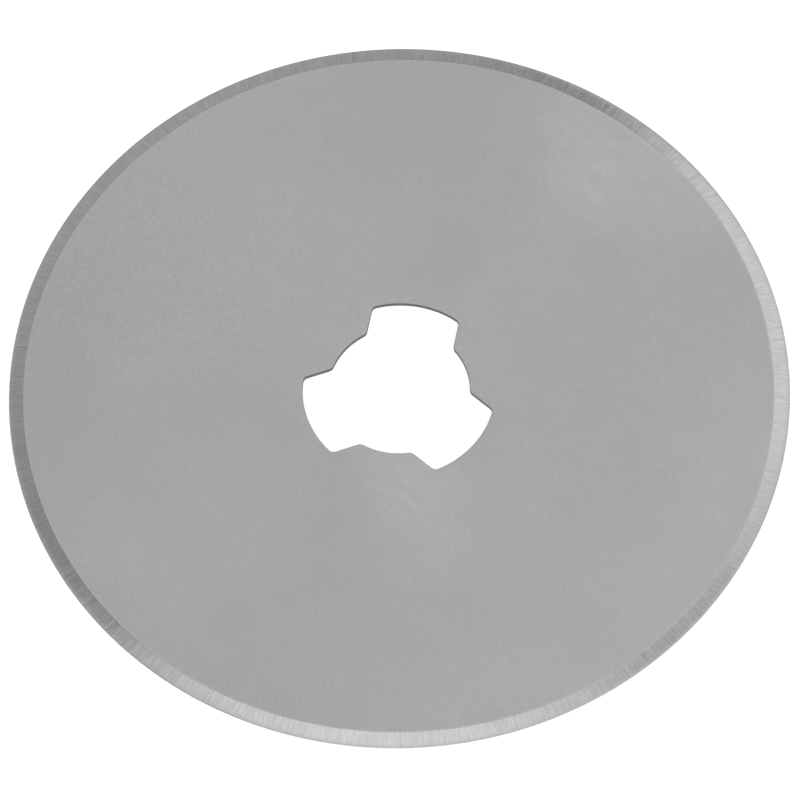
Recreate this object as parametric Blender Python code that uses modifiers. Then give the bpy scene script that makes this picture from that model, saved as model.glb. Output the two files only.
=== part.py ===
"""Rotary cutter blade: a thin round knife, sharp all the way round, with a three-lobed hub hole.

Units are metres and +Z is up. The blade lies flat. Its origin is the centre of the hub hole on the
underside, and one lobe of the hole points along +Y.
"""
import math

import bmesh
import bpy
from mathutils import Vector

# Steel disc
BLADE_DIAMETER = 0.045
SHEET_THICKNESS = 0.0003

# Ground rim, alike on both faces, so that the edge is at mid thickness
BEVEL_WIDTH = 0.00088  # radial width of the whole ground rim, bevel and honed strip together
HONE_WIDTH = 0.00006  # radial width of the honed strip that ends in the edge
HONE_THICKNESS = 0.00003  # steel left where the bevel meets the honed strip

# Hub hole: a bore with open lobes that a hub's ribs drive
BORE_DIAMETER = 0.00816
LOBE_COUNT = 3
LOBE_DIAMETER = 0.01112  # circle that the lobes' outer ends lie on
LOBE_WIDTH = 0.0051  # between a lobe's two parallel flanks
CORNER_RADIUS = 0.00035  # where a flank meets its lobe's outer end
TOOTH_RADIUS = 0.0004  # where a flank runs out into the bore
FIRST_LOBE_ANGLE = math.radians(90)

# How finely the round shapes are divided
RIM_STEPS = 240
WIDE_ARC_STEP = math.radians(4)
TIGHT_ARC_STEP = math.radians(13)

PUNCH_OVERLAP = 0.001  # how far the punch runs past each face
WELD_DISTANCE = 0.0000002  # closes seams, far below the narrowest ground strip
CRISP_ANGLE = math.radians(4)  # less than the turn from the bevel to the honed strip
UPRIGHT_SHARE = 0.99  # an edge that runs more upright than this lies in the hole's wall

STEEL_COLOR = (0.56, 0.555, 0.545, 1.0)
STEEL_METALLIC = 1.0
STEEL_ROUGHNESS = 0.42


def clear_scene():
    """Remove what a new file starts with."""
    for item in list(bpy.data.objects):
        bpy.data.objects.remove(item, do_unlink=True)


def new_collection(name):
    """Make a collection and put it in the scene."""
    collection = bpy.data.collections.new(name)
    bpy.context.scene.collection.children.link(collection)
    return collection


def steel_material():
    """Make the satin steel of the blade."""
    material = bpy.data.materials.new("Satin steel")
    material.use_nodes = True
    shader = material.node_tree.nodes["Principled BSDF"]
    shader.inputs["Base Color"].default_value = STEEL_COLOR
    shader.inputs["Metallic"].default_value = STEEL_METALLIC
    shader.inputs["Roughness"].default_value = STEEL_ROUGHNESS
    material.diffuse_color = STEEL_COLOR
    return material


def arc(center, radius, start, end, step):
    """Give points along an arc, both ends included, in equal parts no longer than step."""
    parts = max(1, math.ceil(abs(end - start) / step))
    angles = [start + (end - start) * index / parts for index in range(parts + 1)]
    return [center + radius * Vector((math.cos(angle), math.sin(angle))) for angle in angles]


def lobe_outline():
    """Outline one lobe that points along +X, from its lower tooth round to the next lobe's bore arc."""
    bore_radius = BORE_DIAMETER / 2
    lobe_radius = LOBE_DIAMETER / 2
    half_width = LOBE_WIDTH / 2
    quarter_turn = math.pi / 2

    tooth_y = half_width + TOOTH_RADIUS
    tooth_x = math.sqrt((bore_radius + TOOTH_RADIUS) ** 2 - tooth_y**2)
    tooth_angle = math.atan2(tooth_y, tooth_x)
    corner_y = half_width - CORNER_RADIUS
    corner_x = math.sqrt((lobe_radius - CORNER_RADIUS) ** 2 - corner_y**2)
    corner_angle = math.atan2(corner_y, corner_x)
    next_bore_end = 2 * math.pi / LOBE_COUNT - tooth_angle

    center = Vector((0, 0))
    lower_tooth = Vector((tooth_x, -tooth_y))
    upper_tooth = Vector((tooth_x, tooth_y))
    lower_corner = Vector((corner_x, -corner_y))
    upper_corner = Vector((corner_x, corner_y))

    points = arc(lower_tooth, TOOTH_RADIUS, math.pi - tooth_angle, quarter_turn, TIGHT_ARC_STEP)
    points += arc(lower_corner, CORNER_RADIUS, -quarter_turn, -corner_angle, TIGHT_ARC_STEP)
    points += arc(center, lobe_radius, -corner_angle, corner_angle, WIDE_ARC_STEP)[1:-1]
    points += arc(upper_corner, CORNER_RADIUS, corner_angle, quarter_turn, TIGHT_ARC_STEP)
    points += arc(upper_tooth, TOOTH_RADIUS, -quarter_turn, tooth_angle - math.pi, TIGHT_ARC_STEP)
    points += arc(center, bore_radius, tooth_angle, next_bore_end, WIDE_ARC_STEP)[1:-1]
    return points


def hole_outline():
    """Outline the whole hub hole, counter-clockwise, as its lobe repeated round the centre."""
    points = []
    for index in range(LOBE_COUNT):
        turn = FIRST_LOBE_ANGLE + index * 2 * math.pi / LOBE_COUNT
        cosine, sine = math.cos(turn), math.sin(turn)
        points += [Vector((cosine * p.x - sine * p.y, sine * p.x + cosine * p.y)) for p in lobe_outline()]
    return points


def disc_profile():
    """Give the section of the disc as (radius, height), from the top's centre to the underside's."""
    radius = BLADE_DIAMETER / 2
    middle = SHEET_THICKNESS / 2
    half_hone = HONE_THICKNESS / 2
    return [
        (0, SHEET_THICKNESS),
        (radius - BEVEL_WIDTH, SHEET_THICKNESS),
        (radius - HONE_WIDTH, middle + half_hone),
        (radius, middle),
        (radius - HONE_WIDTH, middle - half_hone),
        (radius - BEVEL_WIDTH, 0),
        (0, 0),
    ]


def turned_disc(name, collection):
    """Turn the disc's section round the Z axis."""
    points = [(radius, 0, height) for radius, height in disc_profile()]
    edges = [(index, index + 1) for index in range(len(points) - 1)]
    mesh = bpy.data.meshes.new(name)
    mesh.from_pydata(points, edges, [])
    disc = bpy.data.objects.new(name, mesh)
    collection.objects.link(disc)

    screw = disc.modifiers.new("Turned section", "SCREW")
    screw.axis = "Z"
    screw.angle = 2 * math.pi
    screw.steps = RIM_STEPS
    screw.render_steps = RIM_STEPS
    screw.use_merge_vertices = True
    screw.merge_threshold = WELD_DISTANCE
    return disc


def hole_punch(collection):
    """Make the solid punch that cuts the hub hole."""
    outline = hole_outline()
    curve = bpy.data.curves.new("Hub hole outline", "CURVE")
    curve.dimensions = "2D"
    curve.fill_mode = "BOTH"
    curve.extrude = SHEET_THICKNESS / 2 + PUNCH_OVERLAP
    spline = curve.splines.new("POLY")
    spline.points.add(len(outline) - 1)
    for spline_point, point in zip(spline.points, outline):
        spline_point.co = (point.x, point.y, 0, 1)
    spline.use_cyclic_u = True
    drawn = bpy.data.objects.new("Hub hole outline", curve)
    drawn.location.z = SHEET_THICKNESS / 2
    collection.objects.link(drawn)

    graph = bpy.context.evaluated_depsgraph_get()
    mesh = bpy.data.meshes.new_from_object(drawn.evaluated_get(graph))
    body = bmesh.new()
    body.from_mesh(mesh)
    bmesh.ops.remove_doubles(body, verts=body.verts, dist=WELD_DISTANCE)
    bmesh.ops.recalc_face_normals(body, faces=body.faces)
    body.to_mesh(mesh)
    body.free()

    punch = bpy.data.objects.new("hub_hole_punch", mesh)
    punch.matrix_world = drawn.matrix_world
    collection.objects.link(punch)
    bpy.data.objects.remove(drawn, do_unlink=True)
    punch.hide_render = True
    punch.display_type = "WIRE"
    return punch


def punch_out(blade, punch):
    """Cut the punch's shape out of the blade."""
    cut = blade.modifiers.new("Hub hole", "BOOLEAN")
    cut.operation = "DIFFERENCE"
    cut.solver = "EXACT"
    cut.object = punch


def keep_cut_mesh(blade):
    """Keep the turned and punched shape as the blade's own mesh."""
    graph = bpy.context.evaluated_depsgraph_get()
    mesh = bpy.data.meshes.new_from_object(blade.evaluated_get(graph))
    blade.modifiers.clear()
    blade.data = mesh


def shade(mesh):
    """Shade the rim and the hole's wall smooth, and keep each ground or punched edge crisp."""
    mesh.shade_smooth()
    mesh.set_sharp_from_angle(angle=CRISP_ANGLE)
    for edge in mesh.edges:
        start, end = (mesh.vertices[index].co for index in edge.vertices)
        if (end - start).normalized().z ** 2 > UPRIGHT_SHARE:
            edge.use_edge_sharp = False


def build():
    """Build the blade."""
    clear_scene()
    parts = new_collection("Rotary cutter blade")
    cutters = new_collection("Cutters")
    blade = turned_disc("rotary_blade", parts)
    blade.data.materials.append(steel_material())
    punch_out(blade, hole_punch(cutters))
    keep_cut_mesh(blade)
    shade(blade.data)


build()
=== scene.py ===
"""Rotary cutter blade, dressed for its photograph.

The blade lies flat on a white floor under soft studio light. Lengths are metres, and +Z is up. The
packed model is the frame, and one finely divided mesh stands for its plain blade.
"""
import math
from collections import namedtuple

import bpy
from mathutils import Matrix, Vector, kdtree, noise


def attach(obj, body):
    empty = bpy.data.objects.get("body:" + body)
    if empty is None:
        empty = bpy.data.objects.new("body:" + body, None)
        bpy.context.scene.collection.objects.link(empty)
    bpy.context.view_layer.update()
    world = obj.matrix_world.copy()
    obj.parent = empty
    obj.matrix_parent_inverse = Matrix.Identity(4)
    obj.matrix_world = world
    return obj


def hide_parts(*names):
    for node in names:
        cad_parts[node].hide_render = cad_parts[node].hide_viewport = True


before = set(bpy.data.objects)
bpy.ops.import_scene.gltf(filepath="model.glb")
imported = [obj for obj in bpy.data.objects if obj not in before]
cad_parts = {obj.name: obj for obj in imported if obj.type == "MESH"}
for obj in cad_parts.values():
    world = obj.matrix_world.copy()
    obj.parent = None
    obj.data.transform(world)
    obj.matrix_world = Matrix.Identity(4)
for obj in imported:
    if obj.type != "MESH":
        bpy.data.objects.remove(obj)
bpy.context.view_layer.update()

MM = 0.001

# Steel disc, as in the packed model
BLADE_RADIUS = 22.5 * MM
SHEET_THICKNESS = 0.3 * MM
MIDDLE = SHEET_THICKNESS / 2

# Ground rim
BORDER_RADIUS = 21.62 * MM  # where the flat face meets the bevel
HONE_RADIUS = 22.44 * MM  # where the bevel meets the honed strip
HALF_HONE = 0.015 * MM  # half of the steel left at the root of the honed strip
HONE_BULGE = 0.55  # height left at the middle of the honed strip, as a share of its root
BORDER_ROUNDING = 0.03 * MM  # how far the border's small rounding reaches each way
WORN_WIDTH = 0.14 * MM  # strip of the face that is worn bright along the border
BEVEL_CROWN = 0.0014 * MM  # how far the middle of the bevel stands above its straight line
BEVEL_STEPS = 6  # rings across the bevel
BORDER_WAVES = (  # waves round the rim, how far each moves the border, and its phase
    (1, 0.013 * MM, math.radians(157.7)),
    (2, 0.0185 * MM, math.radians(-65.4)),
    (3, 0.0356 * MM, math.radians(-101.7)),
    (4, 0.0058 * MM, math.radians(-96.1)),
    (5, 0.0115 * MM, math.radians(153.0)),
)
BORDER_RAGGED = (  # how fine the border's raggedness is, and about how far it moves the border
    (20.0, 0.006 * MM),
    (90.0, 0.006 * MM),
)
HONE_WANDER_SHARE = 0.4  # how much of the border's wander the honed strip follows

# Hub hole
BORE_RADIUS = 4.08 * MM
LOBE_RADIUS = 5.56 * MM
LOBE_HALF_WIDTH = 2.55 * MM
CORNER_RADIUS = 0.35 * MM
TOOTH_RADIUS = 0.4 * MM
LOBE_COUNT = 3
FIRST_LOBE_ANGLE = math.radians(90)
PUNCHED_ROUNDING = 0.02 * MM  # small rounding of the hole's rim
PUNCHED_STEPS = ((0.0, 1.0), (0.3, 0.3), (1.0, 0.0))  # shares of the rounding, outward and down
ROLL_WIDTH = 0.7 * MM  # the punch pulls the face down a little this far from the hole
ROLL_DEPTH = 0.012 * MM  # at the hole
ROLL_POWER = 2.5  # how fast the pull-down fades away from the hole

# Rings of the mesh
COLUMNS = 1440  # points in each ring
OUTLINE_STEP = math.radians(1.5)  # longest step along an arc of the hole
NEAR_OFFSETS = (0.06 * MM, 0.13 * MM, 0.22 * MM)  # rings that follow the hole
BLEND_SHARES = (0.15, 0.35, 0.6, 1.0)  # rings that turn from the hole's outline to a circle
BLEND_RADIUS = 7.0 * MM  # radius of that circle
FACE_RADII = (9.5 * MM, 13.0 * MM, 17.0 * MM, 20.0 * MM, 21.2 * MM)  # round rings of the flat face

# Places in the map for baking: two faces side by side, and the rim and the hole's wall as strips
DISC_CENTERS = ((0.25, 0.75), (0.75, 0.75))
DISC_SCALE = 0.246 / (21.9 * MM)  # reach of a face in the map, over a radius just past its border
STRIP_START = 0.004
STRIP_LENGTH = 0.992
RIM_STRIPS = 5  # the rim of each side is cut into this many strips
RIM_STRIP_BASE = 0.045
RIM_STRIP_PITCH = 0.0435
RIM_STRIP_HEIGHT = 0.037
WALL_STRIP_BASE = 0.006
WALL_STRIP_PITCH = 0.018
WALL_STRIP_HEIGHT = 0.014

# Steel. A level is a share of the steel's brightness.
STEEL = (0.56, 0.555, 0.545)  # as in the packed model
STEEL_WARM = (0.5587, 0.5545, 0.5393)  # most of the face
STEEL_COOL = (0.5613, 0.55, 0.5567)  # small spots on the face
COOL_LIMITS = (0.53, 0.58)  # values of noise between which warm steel turns cool
PAINTED_WARMTH_EDGE = (2.0, 5.0)  # mm along X, over which the cool spots become few: a painted warm tint of the brighter light on the right
PAINTED_WARMTH_LOSS = 0.15  # fall of the noise there
FLAT = (1.0, 1.0, 0.0)  # takes a place's height away
FACES_APART = (1.0, 1.0, 40.0)  # gives each face noise of its own
NOISE_CENTER = (0.5, 0.5, 0.5)  # middle value of a colour noise
NOISE_SPAN = (0.3, 0.7)  # where most values of a noise lie
WIDE_SPAN = (0.25, 0.75)  # for a rougher noise
WIDEST_SPAN = (0.2, 0.8)  # for the sharp grinding lines

# Flat faces
CLOUD_LEVELS = (0.979, 1.005)  # broad, faint clouds
GRAIN_LEVELS = (-0.05, 0.05)  # change of level by the fine grain
STROKE_TURN = math.radians(-31)  # direction of the faint polishing strokes
STROKE_STRETCH = (4.0, 1.0)  # along a stroke and across it
STROKE_LEVELS = (-0.009, 0.009)
RIPPLE_CENTER = (-15.0, 4.5, 0.0)  # mm, where the faint ripples are strongest
RIPPLE_REACH = (4.0, 12.0)  # mm from there, over which they fade away
RIPPLE_STRETCH = (1.6, 1.0, 1.0)
RIPPLE_LEVELS = (-0.035, 0.035)
SPECK_LIMITS = (0.76, 0.84)  # values of noise between which a bright speck begins
SPECK_LEVELS = (0.04, 0.12)  # far from the ripples and among them
WORN_LEVEL = 0.045  # change of level on the worn border
FACE_ROUGHNESS = (0.31, 0.37)
FACE_BUMP = 0.002 * MM
UPPER_HEIGHTS = (0.14, 0.16)  # mm, heights between which the upper side begins
PATCH_BEND = 3.0  # mm, twice the most that the outlines of the patches of painted light and shade bend
PATCH_EDGE = (1.3, 0.4)  # where a patch of painted light and shade begins and where it is full, as shares of its half sizes
PATCH_STRENGTHS = (0.7, 1.3)  # how the polishing strokes weaken and strengthen the patches of painted light and shade
PAINTED_LIGHT_PATCHES = (  # painted light and shade on the upper face, as soft patches, mostly lighter towards the right and darker towards the left: centre and half sizes in mm, turn, change of brightness
    ((11.2, 18.4), (7.9, 6.6), math.radians(-18), 0.080),
    ((7.3, 17.1), (1.9, 4.5), math.radians(37), 0.025),
    ((1.7, -5.2), (6.3, 3.1), math.radians(-57), 0.066),
    ((8.2, -8.3), (10.5, 6.2), math.radians(-19), 0.019),
    ((0.4, 8.2), (3.6, 2.2), math.radians(40), -0.035),
    ((-0.5, 19.6), (7.9, 9.5), math.radians(85), -0.019),
    ((5.6, 8.9), (9.5, 2.5), math.radians(68), 0.017),
    ((-24.1, -4.1), (13.0, 9.5), math.radians(81), -0.048),
    ((-16.0, -0.8), (2.4, 2.0), math.radians(92), 0.020),
    ((-11.4, 20.7), (3.3, 8.9), math.radians(-29), 0.023),
    ((-7.8, -9.3), (5.9, 4.3), math.radians(-50), 0.033),
    ((-11.5, -14.5), (5.8, 2.6), math.radians(-53), 0.020),
    ((-9.6, -20.5), (13.0, 4.9), math.radians(-18), -0.028),
    ((-6.3, -9.3), (6.3, 9.5), math.radians(37), -0.026),
    ((21.7, -5.0), (13.0, 8.4), math.radians(89), 0.050),
    ((12.6, -18.3), (9.9, 4.9), math.radians(5), 0.035),
    ((-4.5, 6.5), (13.0, 5.8), math.radians(-32), 0.018),
    ((14.9, -3.7), (5.7, 3.1), math.radians(-92), -0.014),
)

# Bevel, honed strip and wall of the hole
LINE_LEVELS = (0.875, 1.125)  # grinding lines
BAND_LEVELS = (-0.02, 0.02)  # change of level by broad radial bands
SCRATCH_LIMITS = (0.66, 0.74)  # values of noise between which a dark scratch begins
SCRATCH_LOSS = 0.12  # fall of level in a scratch
BEVEL_ROUGHNESS = (0.12, 0.18)
DULL_STRIP = (22.18, 22.46)  # radii in mm over which the bevel grows duller
DULL_ROUGHNESS = 0.1  # roughness added there
BEVEL_BUMP = 0.0008 * MM
HONE_LEVELS = (0.72, 0.96)
HONE_ROUGHNESS = (0.2, 0.26)
TORN_STRETCH = (1.0, 1.0, 0.25)
TORN_LEVELS = (0.2, 0.34)
TORN_ROUGHNESS = (0.5, 0.65)
TORN_BUMP = 0.004 * MM

# Studio round the blade. A direction is given by how far it leans to the right and away from the
# camera, and its height is how far it leans up.
ROOM_LEVEL = 0.35  # light of the grey room overhead
ROOM_RISE = (-0.302, 0.543)  # how the room's level changes to the right and away
ROOM_LEAST = 0.2  # the room is nowhere darker
ROOM_TINT = (0.985, 0.994, 1.018)
BOX_TINT = (1.0, 0.993, 0.995)
TINT_LEVELS = (0.42, 0.54)  # levels of light between which the room's tint turns into the boxes' tint
GLOW_CENTER = (0.0, 0.446)  # direction of the soft glow overhead
GLOW_REACH = (0.06, 0.31)  # how far from its centre the glow begins to fade, and where it ends
GLOW_LEVEL = 0.755  # light of the glow
WALL_LEVELS = (0.62, 1.1)  # low and high on the studio's white walls
WALL_HEIGHTS = (0.25, 0.6)  # heights between which the walls grow lighter
WALL_REACH = (0.44, 0.62)  # how far from the glow's centre the walls begin
SIDE_BOX = ((0.206, 0.9, 0.02), (0.23, 0.733, 0.179), 1.045)  # start, end and softness each way, and level
NEAR_BOX = ((-0.273, 0.191, 0.166), (-0.5, 0.218, 0.02), 1.12)
NEAR_LEAN = (0.25, 0.17)  # how much the near box leans to the left as it runs away, and where it starts
FLAG = ((0.11, 0.19, 0.03), (0.55, 0.8, 0.03), 0.36)  # grey card beside the far end of the side box
BOX_HEIGHTS = (0.0, 0.2)  # the glow and the boxes fade in over these heights
BACKDROP_HEIGHTS = (0.03, 0.12)  # the white backdrop ends over these heights

FLOOR_SIZE = 6.0
FLOOR_DROP = 0.02 * MM  # keeps the floor clear of the underside
FLOOR_WHITE = (0.85, 0.85, 0.85, 1.0)
FLOOR_LIFT = 0.5  # light added where the floor is seen, so that it comes out fully white

# Camera, fitted to the photograph
VIEW_TURN = math.radians(13.58)
VIEW_ELEVATION = math.radians(63.512)
VIEW_ROLL = math.radians(-2.6365)
VIEW_DISTANCE = 435.365 * MM
VIEW_TARGET = Vector((0.02876, -0.53455, 0.0)) * MM
LENS = 340.185
SENSOR = 36.0

FACE, BEVEL, HONE, WALL = range(4)  # zones of the blade, in the order of its materials

Ring = namedtuple("Ring", "points zone crisp worn share")
Ring.__doc__ = """One ring of the mesh.

The zone is that of the faces outside it, crisp keeps its edge sharp in shading, worn is how much the
border's wear shows on it, and share is how far it lies across its strip of the map.
"""


def arc(center, radius, start, end):
    """Give points along an arc in equal parts, both ends included."""
    parts = max(1, math.ceil(abs(end - start) / OUTLINE_STEP))
    angles = [start + (end - start) * index / parts for index in range(parts + 1)]
    return [center + radius * Vector((math.cos(angle), math.sin(angle))) for angle in angles]


def half_lobe():
    """Outline half a lobe that points along +X, from its outer end to the middle of the next bore arc."""
    tooth_y = LOBE_HALF_WIDTH + TOOTH_RADIUS
    tooth_x = math.sqrt((BORE_RADIUS + TOOTH_RADIUS) ** 2 - tooth_y**2)
    tooth_angle = math.atan2(tooth_y, tooth_x)
    corner_y = LOBE_HALF_WIDTH - CORNER_RADIUS
    corner_x = math.sqrt((LOBE_RADIUS - CORNER_RADIUS) ** 2 - corner_y**2)
    corner_angle = math.atan2(corner_y, corner_x)
    quarter_turn = math.pi / 2

    center = Vector((0, 0))
    points = arc(center, LOBE_RADIUS, 0, corner_angle)
    points += arc(Vector((corner_x, corner_y)), CORNER_RADIUS, corner_angle, quarter_turn)[1:]
    points += arc(Vector((tooth_x, tooth_y)), TOOTH_RADIUS, -quarter_turn, tooth_angle - math.pi)
    points += arc(center, BORE_RADIUS, tooth_angle, math.pi / LOBE_COUNT)[1:]
    return points


def turned(point, angle):
    """Turn a flat point round the centre."""
    cosine, sine = math.cos(angle), math.sin(angle)
    return Vector((cosine * point.x - sine * point.y, sine * point.x + cosine * point.y))


def hole_outline():
    """Outline the hub hole counter-clockwise, closed, starting at the outer end of the first lobe."""
    half = half_lobe()
    pitch = 2 * math.pi / LOBE_COUNT
    next_half = [turned(Vector((point.x, -point.y)), pitch) for point in reversed(half)]
    lobe = half + next_half[1:]
    points = []
    for index in range(LOBE_COUNT):
        angle = FIRST_LOBE_ANGLE + index * pitch
        points += [turned(point, angle) for point in lobe[:-1]]
    return points + [points[0]]


def spread_evenly(points, count):
    """Give count points at equal steps along a closed outline."""
    reach = [0.0]
    for start, end in zip(points, points[1:]):
        reach.append(reach[-1] + (end - start).length)
    spread = []
    piece = 0
    for index in range(count):
        along = reach[-1] * index / count
        while reach[piece + 1] <= along:
            piece += 1
        share = (along - reach[piece]) / (reach[piece + 1] - reach[piece])
        spread.append(points[piece].lerp(points[piece + 1], share))
    return spread


def outward_normals(points):
    """Give each point of a closed outline its normal, away from the hole."""
    normals = []
    for index in range(len(points)):
        along = points[(index + 1) % len(points)] - points[index - 1]
        normals.append(Vector((along.y, -along.x)).normalized())
    return normals


def wander(angle):
    """Give the uneven reach of the grinding at an angle round the rim."""
    total = sum(size * math.cos(waves * angle - phase) for waves, size, phase in BORDER_WAVES)
    for fineness, size in BORDER_RAGGED:
        place = Vector((math.cos(angle) * fineness, math.sin(angle) * fineness, fineness))
        total += 2 * size * noise.noise(place)
    return total


def roll_height(distance):
    """Give the face's height at a distance from the hole, where the punch has pulled it down."""
    share = max(0.0, 1 - distance / ROLL_WIDTH)
    return SHEET_THICKNESS - ROLL_DEPTH * share**ROLL_POWER


def bevel_point(border, hone, share):
    """Give the radius and height on the slightly crowned bevel."""
    radius = border + (hone - border) * share
    straight = SHEET_THICKNESS + (MIDDLE + HALF_HONE - SHEET_THICKNESS) * share
    return radius, straight + BEVEL_CROWN * 4 * share * (1 - share)


def rim_section(angle):
    """Give the ground rim's section as (radius, height, zone, crisp, worn), from the face to the edge."""
    reach = wander(angle)
    border = BORDER_RADIUS + reach
    hone = HONE_RADIUS + HONE_WANDER_SHARE * reach
    slope = (MIDDLE + HALF_HONE + 4 * BEVEL_CROWN - SHEET_THICKNESS) / (hone - border)
    section = [(border - WORN_WIDTH, SHEET_THICKNESS, FACE, False, 0.0)]
    for share, zone in ((-1.0, FACE), (-0.5, FACE), (0.0, FACE), (0.5, BEVEL)):
        fall = slope * BORDER_ROUNDING * (share + 1) ** 2 / 4
        section.append((border + share * BORDER_ROUNDING, SHEET_THICKNESS + fall, zone, False, 1.0))
    first = BORDER_ROUNDING / (hone - border)
    for step in range(BEVEL_STEPS):
        share = first + (1 - first) * step / BEVEL_STEPS
        section.append((*bevel_point(border, hone, share), BEVEL, False, 0.0))
    section.append((*bevel_point(border, hone, 1.0), HONE, True, 0.0))
    section.append(((hone + BLADE_RADIUS) / 2, MIDDLE + HALF_HONE * HONE_BULGE, HONE, False, 0.0))
    section.append((BLADE_RADIUS, MIDDLE, HONE, True, 0.0))
    return section


def raised(points, height):
    """Give flat points at a height."""
    return [Vector((point.x, point.y, height)) for point in points]


def hole_rings(outline, normals):
    """Give the rings from the middle of the hole's wall to where the flat face begins."""
    rings = [Ring(raised(outline, MIDDLE), WALL, False, 0.0, 0.0)]
    for step, (outward, down) in enumerate(PUNCHED_STEPS):
        reach = outward * PUNCHED_ROUNDING
        height = roll_height(reach) - down * PUNCHED_ROUNDING
        points = raised([point + normal * reach for point, normal in zip(outline, normals)], height)
        zone = WALL if step + 1 < len(PUNCHED_STEPS) else FACE
        rings.append(Ring(points, zone, True, 0.0, (step + 1) / len(PUNCHED_STEPS)))
    for reach in NEAR_OFFSETS:
        flat = [point + normal * reach for point, normal in zip(outline, normals)]
        rings.append(Ring(raised(flat, roll_height(reach)), FACE, False, 0.0, 0.0))
    return rings


def face_rings(last, outline, rays):
    """Give the rings of the flat face, from round the hole to near the rim."""
    tree = kdtree.KDTree(len(outline))
    for index, point in enumerate(outline):
        tree.insert(point.to_3d(), index)
    tree.balance()

    rings = []
    for share in BLEND_SHARES:
        points = []
        for point, ray in zip(last, rays):
            place = point.lerp(ray * BLEND_RADIUS, share).to_3d()
            place.z = roll_height(tree.find(place)[2])
            points.append(place)
        rings.append(Ring(points, FACE, False, 0.0, 0.0))
    for radius in FACE_RADII:
        rings.append(Ring(raised([ray * radius for ray in rays], SHEET_THICKNESS), FACE, False, 0.0, 0.0))
    return rings


def rim_rings(angles, rays):
    """Give the rings of the ground rim, from the face's border to the edge."""
    sections = [rim_section(angle) for angle in angles]
    start = sections[0][0][0]
    rings = []
    for parts in zip(*sections):
        points = []
        for ray, (radius, height, *_) in zip(rays, parts):
            points.append(Vector((ray.x * radius, ray.y * radius, height)))
        radius, _, zone, crisp, worn = parts[0]
        share = (radius - start) / (BLADE_RADIUS - start)
        rings.append(Ring(points, zone, crisp, worn, share))
    return rings


def upper_rings():
    """Give the rings of the blade's upper half, from the middle of the hole's wall out to the edge."""
    outline = spread_evenly(hole_outline(), COLUMNS)
    normals = outward_normals(outline)
    angles = [FIRST_LOBE_ANGLE + 2 * math.pi * index / COLUMNS for index in range(COLUMNS)]
    rays = [Vector((math.cos(angle), math.sin(angle))) for angle in angles]
    rings = hole_rings(outline, normals)
    last = [Vector((point.x, point.y)) for point in rings[-1].points]
    rings += face_rings(last, outline, rays)
    return rings + rim_rings(angles, rays)


def mirrored(ring):
    """Give the ring on the underside that matches one on the upper side."""
    points = [Vector((point.x, point.y, SHEET_THICKNESS - point.z)) for point in ring.points]
    return ring._replace(points=points)


def map_place(zone, side, column, ring, point):
    """Give a corner's place in the map for baking."""
    if zone == FACE:
        center = DISC_CENTERS[side]
        flip = -1 if side else 1
        return center[0] + flip * point.x * DISC_SCALE, center[1] + point.y * DISC_SCALE
    share = ring.share if side else 1 - ring.share
    if zone == WALL:
        base = WALL_STRIP_BASE + side * WALL_STRIP_PITCH
        return STRIP_START + STRIP_LENGTH * column / COLUMNS, base + WALL_STRIP_HEIGHT * share
    across = RIM_STRIPS * column / COLUMNS
    return across, RIM_STRIP_BASE + side * RIM_STRIPS * RIM_STRIP_PITCH + RIM_STRIP_HEIGHT * share


def strip_places(zone, side, column, rings):
    """Give the four corners of one face their places in the map."""
    inner, outer = rings
    beside = (column + 1) % COLUMNS
    corners = []
    for ring, index, reach in (
        (inner, column, column),
        (outer, column, column),
        (outer, beside, column + 1),
        (inner, beside, column + 1),
    ):
        across, up = map_place(zone, side, reach, ring, ring.points[index])
        if zone in (BEVEL, HONE):
            strip = RIM_STRIPS * column // COLUMNS
            across = STRIP_START + STRIP_LENGTH * (across - strip)
            up += strip * RIM_STRIP_PITCH
        corners.append((across, up))
    return corners


def blade_mesh():
    """Make the closed mesh of the blade, with its zones as material slots and its map for baking."""
    upper = upper_rings()
    rings = upper + [mirrored(ring) for ring in reversed(upper[1:-1])]
    zones = [ring.zone for ring in upper[:-1]]
    zones += zones[::-1]

    faces = []
    slots = []
    places = []
    for start, zone in enumerate(zones):
        end = (start + 1) % len(rings)
        side = int(start >= len(upper) - 1)
        for column in range(COLUMNS):
            beside = (column + 1) % COLUMNS
            corners = ((start, column), (end, column), (end, beside), (start, beside))
            faces.append([ring * COLUMNS + index for ring, index in corners])
            slots.append(zone)
            places += strip_places(zone, side, column, (rings[start], rings[end]))

    mesh = bpy.data.meshes.new("cutting_disc")
    mesh.from_pydata([point for ring in rings for point in ring.points], [], faces)
    mesh.polygons.foreach_set("material_index", slots)
    mesh.shade_smooth()
    for edge in mesh.edges:
        start, end = (index // COLUMNS for index in edge.vertices)
        edge.use_edge_sharp = start == end and rings[start].crisp
    worn = mesh.attributes.new("worn", "FLOAT", "POINT")
    worn.data.foreach_set("value", [ring.worn for ring in rings for _ in ring.points])
    bake_map = mesh.uv_layers.new(name="OFBake")
    bake_map.data.foreach_set("uv", [value for place in places for value in place])
    mesh.update()
    return mesh


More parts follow.
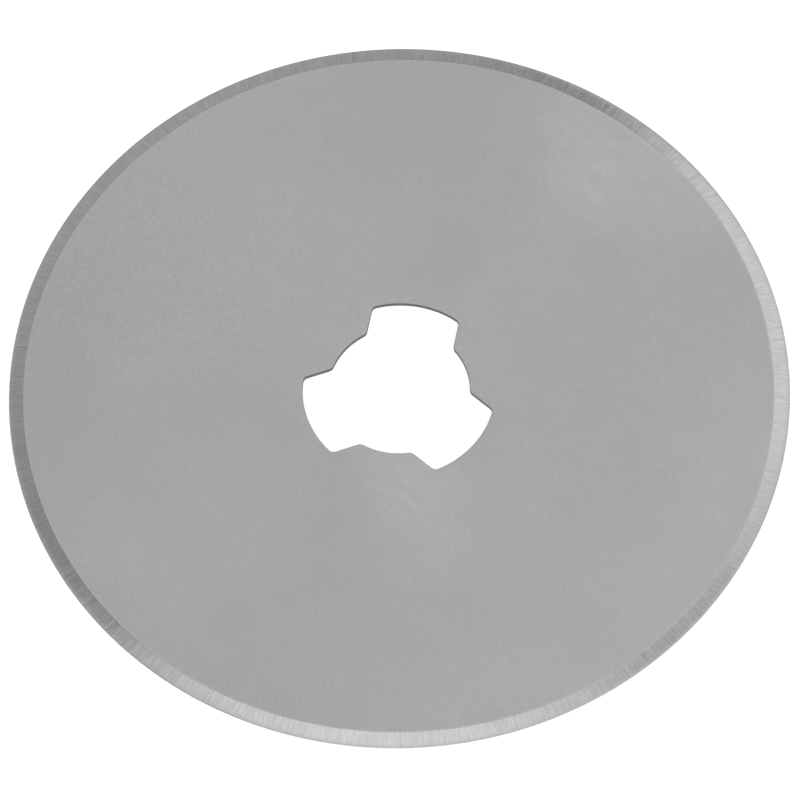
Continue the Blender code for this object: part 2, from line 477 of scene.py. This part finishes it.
class Graph:
    """Adds nodes to a material or a world, and links them."""

    def __init__(self, tree):
        self.tree = tree

    def add(self, kind, settings=None, **inputs):
        """Add a node, with its settings, and set or link its inputs by name."""
        node = self.tree.nodes.new(kind)
        for name, value in (settings or {}).items():
            setattr(node, name, value)
        for name, value in inputs.items():
            self.put(node, name, value)
        return node

    def put(self, node, name, value):
        """Set or link one input. A name such as in_1 stands for an input's number."""
        key = int(name[3:]) if name.startswith("in_") else name.replace("_", " ")
        socket = node.inputs[key]
        if isinstance(value, bpy.types.NodeSocket):
            self.tree.links.new(value, socket)
        else:
            socket.default_value = value

    def math(self, operation, first, second):
        """Add one sum, and give its result."""
        return self.add("ShaderNodeMath", {"operation": operation}, in_0=first, in_1=second).outputs[0]

    def scaled(self, vector, scale):
        """Stretch a vector by the same factor all ways."""
        settings = {"operation": "SCALE"}
        return self.add("ShaderNodeVectorMath", settings, in_0=vector, Scale=scale).outputs[0]

    def joined(self, operation, first, second):
        """Join two vectors, part by part."""
        settings = {"operation": operation}
        return self.add("ShaderNodeVectorMath", settings, in_0=first, in_1=second).outputs[0]

    def local(self, vector, center, sizes, turn):
        """Give a place as a turned box sees it: from its centre, in shares of its sizes."""
        node = self.add(
            "ShaderNodeMapping",
            {"vector_type": "TEXTURE"},
            Vector=vector,
            Location=(*center, 0.0),
            Rotation=(0.0, 0.0, turn),
            Scale=(*sizes, 1.0),
        )
        return node.outputs[0]

    def length(self, vector):
        """Give a vector's length."""
        return self.add("ShaderNodeVectorMath", {"operation": "LENGTH"}, in_0=vector).outputs["Value"]

    def soft_step(self, value, low, high):
        """Give 0 below low and 1 above high, with a soft rise between."""
        settings = {"interpolation_type": "SMOOTHSTEP"}
        node = self.add("ShaderNodeMapRange", settings, Value=value, From_Min=low, From_Max=high)
        return node.outputs[0]

    def between(self, value, low, high, soft):
        """Give 1 between low and high, with soft ends."""
        rise = self.soft_step(value, low - soft, low + soft)
        fall = self.soft_step(value, high - soft, high + soft)
        return self.math("SUBTRACT", rise, fall)

    def toward(self, level, goal, share):
        """Move a level towards another one by a share."""
        step = self.math("MULTIPLY", self.math("SUBTRACT", goal, level), share)
        return self.math("ADD", level, step)

    def blended(self, first, second, share):
        """Blend two colours by a share."""
        step = self.joined("SUBTRACT", second, first)
        return self.joined("ADD", self.scaled(step, share), first)

    def noise(self, vector, scale, detail, roughness=0.5, output="Fac"):
        """Add noise, and give its value from 0 to 1, or its colour."""
        node = self.add(
            "ShaderNodeTexNoise",
            Vector=vector,
            Scale=scale,
            Detail=detail,
            Roughness=roughness,
        )
        return node.outputs[output]

    def remap(self, value, span, levels):
        """Map a span of values on a pair of levels, in a straight line."""
        node = self.add(
            "ShaderNodeMapRange",
            Value=value,
            From_Min=span[0],
            From_Max=span[1],
            To_Min=levels[0],
            To_Max=levels[1],
        )
        return node.outputs[0]

    def bump(self, height, strength, distance):
        """Add a bump, and give its normal."""
        node = self.add("ShaderNodeBump", Strength=strength, Distance=distance, Height=height)
        return node.outputs[0]


def new_material(name):
    """Make a material, and give it with its graph and its shader."""
    material = bpy.data.materials.new(name)
    material.use_nodes = True
    shader = material.node_tree.nodes["Principled BSDF"]
    shader.inputs["Metallic"].default_value = 1.0
    return material, Graph(material.node_tree), shader


def millimetres(graph):
    """Give the place on the blade in millimetres."""
    return graph.scaled(graph.add("ShaderNodeTexCoord").outputs["Object"], 1 / MM)


def radial_noise(graph, place, lines, along, detail, roughness):
    """Add noise in radial lines, finer ones where lines is higher and shorter where along is higher."""
    flat = graph.joined("MULTIPLY", place, FLAT)
    direction = graph.add("ShaderNodeVectorMath", {"operation": "NORMALIZE"}, in_0=flat).outputs[0]
    lift = graph.math("MULTIPLY", graph.length(flat), along)
    lift = graph.add("ShaderNodeCombineXYZ", Z=lift).outputs[0]
    radial = graph.joined("ADD", graph.scaled(direction, lines), lift)
    return graph.noise(radial, scale=1.0, detail=detail, roughness=roughness)


def upper_painted_light(graph, place):
    """Give the change of brightness that the soft marks make on the upper face."""
    bend = graph.noise(place, scale=0.35, detail=2.0, roughness=0.5, output="Color")
    bend = graph.scaled(graph.joined("SUBTRACT", bend, NOISE_CENTER), PATCH_BEND)
    bent = graph.joined("MULTIPLY", graph.joined("ADD", place, bend), FLAT)
    total = 0.0
    for center, sizes, turn, change in PAINTED_LIGHT_PATCHES:
        apart = graph.length(graph.local(bent, center, sizes, turn))
        share = graph.soft_step(apart, *PATCH_EDGE)
        total = graph.math("ADD", graph.math("MULTIPLY", share, change), total)
    height = graph.add("ShaderNodeSeparateXYZ", in_0=place).outputs[2]
    return graph.math("MULTIPLY", total, graph.soft_step(height, *UPPER_HEIGHTS))


def soft_level(graph, place, deep):
    """Give the face's brightness from its clouds, its soft marks and its polishing strokes."""
    cloud = graph.noise(deep, scale=0.45, detail=3.0, roughness=0.7)
    strokes = graph.local(deep, (0.0, 0.0), STROKE_STRETCH, STROKE_TURN)
    strokes = graph.noise(strokes, scale=2.2, detail=2.5, roughness=0.65)
    strength = graph.remap(strokes, NOISE_SPAN, PATCH_STRENGTHS)
    # painted light and shade on the upper face, in soft patches
    painted_light = graph.math("MULTIPLY", upper_painted_light(graph, place), strength)
    level = graph.math("ADD", painted_light, graph.remap(cloud, NOISE_SPAN, CLOUD_LEVELS))
    return graph.math("ADD", level, graph.remap(strokes, NOISE_SPAN, STROKE_LEVELS))


def face_steel(graph, place, deep):
    """Give the face's colour: warm steel with small cool spots, few of them on the right."""
    right = graph.add("ShaderNodeSeparateXYZ", in_0=place).outputs[0]
    # painted warm tint of the light on the right side, which thins out the cool spots
    painted_warmth = graph.math("MULTIPLY", graph.soft_step(right, *PAINTED_WARMTH_EDGE), PAINTED_WARMTH_LOSS)
    hue = graph.math("SUBTRACT", graph.noise(deep, scale=3.0, detail=1.0, roughness=0.5), painted_warmth)
    return graph.blended(STEEL_WARM, STEEL_COOL, graph.soft_step(hue, *COOL_LIMITS))


def face_material():
    """Satin steel of the flat faces: grain, strokes, ripples, specks, soft marks and a worn border."""
    material, graph, shader = new_material("Satin steel face")
    place = millimetres(graph)
    deep = graph.joined("MULTIPLY", place, FACES_APART)
    grain = graph.noise(deep, scale=4.5, detail=1.2, roughness=0.9)
    stretched = graph.joined("MULTIPLY", deep, RIPPLE_STRETCH)
    ripple = graph.noise(stretched, scale=3.2, detail=2.0, roughness=0.6)
    apart = graph.length(graph.joined("SUBTRACT", place, RIPPLE_CENTER))
    near_ripples = graph.soft_step(apart, RIPPLE_REACH[1], RIPPLE_REACH[0])
    specks = graph.soft_step(graph.noise(deep, scale=5.0, detail=0.0), *SPECK_LIMITS)
    worn = graph.add("ShaderNodeAttribute", {"attribute_name": "worn"}).outputs["Fac"]

    level = soft_level(graph, place, deep)
    level = graph.math("ADD", level, graph.remap(grain, WIDE_SPAN, GRAIN_LEVELS))
    rippled = graph.remap(ripple, NOISE_SPAN, RIPPLE_LEVELS)
    level = graph.math("ADD", level, graph.math("MULTIPLY", near_ripples, rippled))
    speck_level = graph.remap(near_ripples, (0.0, 1.0), SPECK_LEVELS)
    level = graph.math("ADD", level, graph.math("MULTIPLY", specks, speck_level))
    level = graph.math("ADD", level, graph.math("MULTIPLY", worn, WORN_LEVEL))
    graph.put(shader, "Base Color", graph.scaled(face_steel(graph, place, deep), level))
    graph.put(shader, "Roughness", graph.remap(grain, NOISE_SPAN, FACE_ROUGHNESS))
    height = graph.math("ADD", grain, graph.math("MULTIPLY", ripple, near_ripples))
    graph.put(shader, "Normal", graph.bump(height, strength=0.5, distance=FACE_BUMP))
    return material


def bevel_material():
    """Ground steel of the bevel, with radial grinding lines and a few deeper scratches."""
    material, graph, shader = new_material("Ground bevel")
    place = millimetres(graph)
    lines = radial_noise(graph, place, lines=175.0, along=1.2, detail=1.3, roughness=0.8)
    bands = radial_noise(graph, place, lines=14.0, along=0.3, detail=1.0, roughness=0.5)
    waves = radial_noise(graph, place, lines=130.0, along=0.8, detail=1.0, roughness=0.6)
    scratches = radial_noise(graph, place, lines=170.0, along=0.3, detail=1.0, roughness=0.5)
    scratches = graph.soft_step(scratches, *SCRATCH_LIMITS)
    level = graph.remap(lines, WIDEST_SPAN, LINE_LEVELS)
    level = graph.math("ADD", level, graph.remap(bands, NOISE_SPAN, BAND_LEVELS))
    level = graph.math("SUBTRACT", level, graph.math("MULTIPLY", scratches, SCRATCH_LOSS))
    graph.put(shader, "Base Color", graph.scaled(STEEL, level))
    radius = graph.length(graph.joined("MULTIPLY", place, FLAT))
    dull = graph.math("MULTIPLY", graph.soft_step(radius, *DULL_STRIP), DULL_ROUGHNESS)
    roughness = graph.math("ADD", dull, graph.remap(waves, NOISE_SPAN, BEVEL_ROUGHNESS))
    graph.put(shader, "Roughness", roughness)
    graph.put(shader, "Anisotropic", 0.5)
    tangent = graph.add("ShaderNodeTangent", {"direction_type": "RADIAL", "axis": "Z"})
    graph.put(shader, "Tangent", tangent.outputs[0])
    height = graph.math("ADD", waves, lines)
    graph.put(shader, "Normal", graph.bump(height, strength=1.0, distance=BEVEL_BUMP))
    return material


def hone_material():
    """Honed strip along the edge, a little darker than the bevel."""
    material, graph, shader = new_material("Honed edge")
    lines = radial_noise(graph, millimetres(graph), lines=60.0, along=1.0, detail=3.0, roughness=0.9)
    level = graph.remap(lines, WIDE_SPAN, HONE_LEVELS)
    graph.put(shader, "Base Color", graph.scaled(STEEL, level))
    graph.put(shader, "Roughness", graph.remap(lines, NOISE_SPAN, HONE_ROUGHNESS))
    return material


def wall_material():
    """Darker, rougher steel of the punched wall, torn in short upright lines."""
    material, graph, shader = new_material("Punched wall")
    place = graph.joined("MULTIPLY", millimetres(graph), TORN_STRETCH)
    torn = graph.noise(place, scale=18.0, detail=3.0, roughness=0.6)
    level = graph.remap(torn, NOISE_SPAN, TORN_LEVELS)
    graph.put(shader, "Base Color", graph.scaled(STEEL, level))
    graph.put(shader, "Roughness", graph.remap(torn, NOISE_SPAN, TORN_ROUGHNESS))
    graph.put(shader, "Normal", graph.bump(torn, strength=0.5, distance=TORN_BUMP))
    return material


def add_floor():
    """Lay the plain white floor just under the blade."""
    half = FLOOR_SIZE / 2
    corners = [(-half, -half, 0), (half, -half, 0), (half, half, 0), (-half, half, 0)]
    mesh = bpy.data.meshes.new("floor")
    mesh.from_pydata(corners, [], [(0, 1, 2, 3)])
    floor = bpy.data.objects.new("floor", mesh)
    floor.location.z = -FLOOR_DROP
    bpy.context.scene.collection.objects.link(floor)

    material = bpy.data.materials.new("White floor")
    material.use_nodes = True
    material.node_tree.nodes.clear()
    graph = Graph(material.node_tree)
    path = graph.add("ShaderNodeLightPath")
    seen = graph.math("MAXIMUM", path.outputs["Is Camera Ray"], path.outputs["Is Glossy Ray"])
    seen = graph.math("MAXIMUM", seen, path.outputs["Is Transmission Ray"])
    paint = graph.add("ShaderNodeBsdfDiffuse", Color=FLOOR_WHITE)
    lift = graph.math("MULTIPLY", seen, FLOOR_LIFT)
    glow = graph.add("ShaderNodeEmission", Color=(1.0, 1.0, 1.0, 1.0), Strength=lift)
    both = graph.add("ShaderNodeAddShader", in_0=paint.outputs[0], in_1=glow.outputs[0])
    graph.add("ShaderNodeOutputMaterial", Surface=both.outputs[0])
    mesh.materials.append(material)


def studio_level(graph, right, away, up):
    """Give the level of light that comes from a direction of the studio."""
    lean = graph.math("SUBTRACT", away, GLOW_CENTER[1])
    level = graph.math("MULTIPLY", right, ROOM_RISE[0])
    level = graph.math("ADD", level, graph.math("MULTIPLY", lean, ROOM_RISE[1]))
    level = graph.math("MAXIMUM", graph.math("ADD", level, ROOM_LEVEL), ROOM_LEAST)

    aside = graph.math("SUBTRACT", right, GLOW_CENTER[0])
    apart = graph.length(graph.add("ShaderNodeCombineXYZ", X=aside, Y=lean).outputs[0])
    walls = graph.toward(WALL_LEVELS[0], WALL_LEVELS[1], graph.soft_step(up, *WALL_HEIGHTS))
    level = graph.toward(level, walls, graph.soft_step(apart, *WALL_REACH))
    above = graph.soft_step(up, *BOX_HEIGHTS)
    glow = graph.math("SUBTRACT", 1.0, graph.soft_step(apart, *GLOW_REACH))
    level = graph.toward(level, GLOW_LEVEL, graph.math("MULTIPLY", glow, above))
    turn = graph.math("MULTIPLY", graph.math("SUBTRACT", away, NEAR_LEAN[1]), NEAR_LEAN[0])
    near_right = graph.math("ADD", right, turn)
    for place, (across, along, box_level) in ((right, FLAG), (right, SIDE_BOX), (near_right, NEAR_BOX)):
        box = graph.math("MULTIPLY", graph.between(place, *across), graph.between(away, *along))
        level = graph.toward(level, box_level, graph.math("MULTIPLY", box, above))
    return level


def add_world():
    """Light the blade from a studio with white walls, a grey room above and soft boxes."""
    world = bpy.data.worlds.new("Studio")
    world.use_nodes = True
    world.node_tree.nodes.clear()
    graph = Graph(world.node_tree)
    direction = graph.add("ShaderNodeTexCoord").outputs["Generated"]
    facing = graph.add("ShaderNodeVectorRotate", {"rotation_type": "Z_AXIS"}, Vector=direction)
    graph.put(facing, "Angle", -VIEW_TURN)
    right, away, up = graph.add("ShaderNodeSeparateXYZ", in_0=facing.outputs[0]).outputs
    level = studio_level(graph, right, away, up)

    path = graph.add("ShaderNodeLightPath")
    seen = graph.math("MAXIMUM", path.outputs["Is Glossy Ray"], path.outputs["Is Transmission Ray"])
    low = graph.math("SUBTRACT", 1.0, graph.soft_step(up, *BACKDROP_HEIGHTS))
    backdrop = graph.math("MULTIPLY", seen, low)
    backdrop = graph.math("MAXIMUM", backdrop, path.outputs["Is Camera Ray"])
    level = graph.toward(level, 1.0, backdrop)

    tint = graph.blended(ROOM_TINT, BOX_TINT, graph.soft_step(level, *TINT_LEVELS))
    light = graph.add("ShaderNodeBackground", Color=tint, Strength=level)
    graph.add("ShaderNodeOutputWorld", Surface=light.outputs[0])
    bpy.context.scene.world = world


def add_camera():
    """Place the camera at the photograph's viewing angle."""
    data = bpy.data.cameras.new("Photograph view")
    data.lens = LENS
    data.sensor_width = SENSOR
    data.sensor_fit = "HORIZONTAL"
    back = Vector((0, -math.cos(VIEW_ELEVATION), math.sin(VIEW_ELEVATION)))
    right = Vector((1, 0, 0))
    up = back.cross(right)
    across = math.cos(VIEW_ROLL) * right + math.sin(VIEW_ROLL) * up
    upright = -math.sin(VIEW_ROLL) * right + math.cos(VIEW_ROLL) * up
    eye = VIEW_TARGET + VIEW_DISTANCE * back
    pose = Matrix((across, upright, back)).transposed().to_4x4()
    camera = bpy.data.objects.new("Photograph view", data)
    camera.matrix_world = Matrix.Rotation(VIEW_TURN, 4, "Z") @ Matrix.Translation(eye) @ pose
    bpy.context.scene.collection.objects.link(camera)
    bpy.context.scene.camera = camera


def add_blade():
    """Make the detailed blade that stands for the packed one."""
    mesh = blade_mesh()
    for material in (face_material(), bevel_material(), hone_material(), wall_material()):
        mesh.materials.append(material)
    blade = bpy.data.objects.new("cutting_disc", mesh)
    bpy.context.scene.collection.objects.link(blade)
    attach(blade, "root")
    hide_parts("rotary_blade")


bpy.context.scene.view_settings.view_transform = "Standard"
add_camera()
add_floor()
add_world()
add_blade()
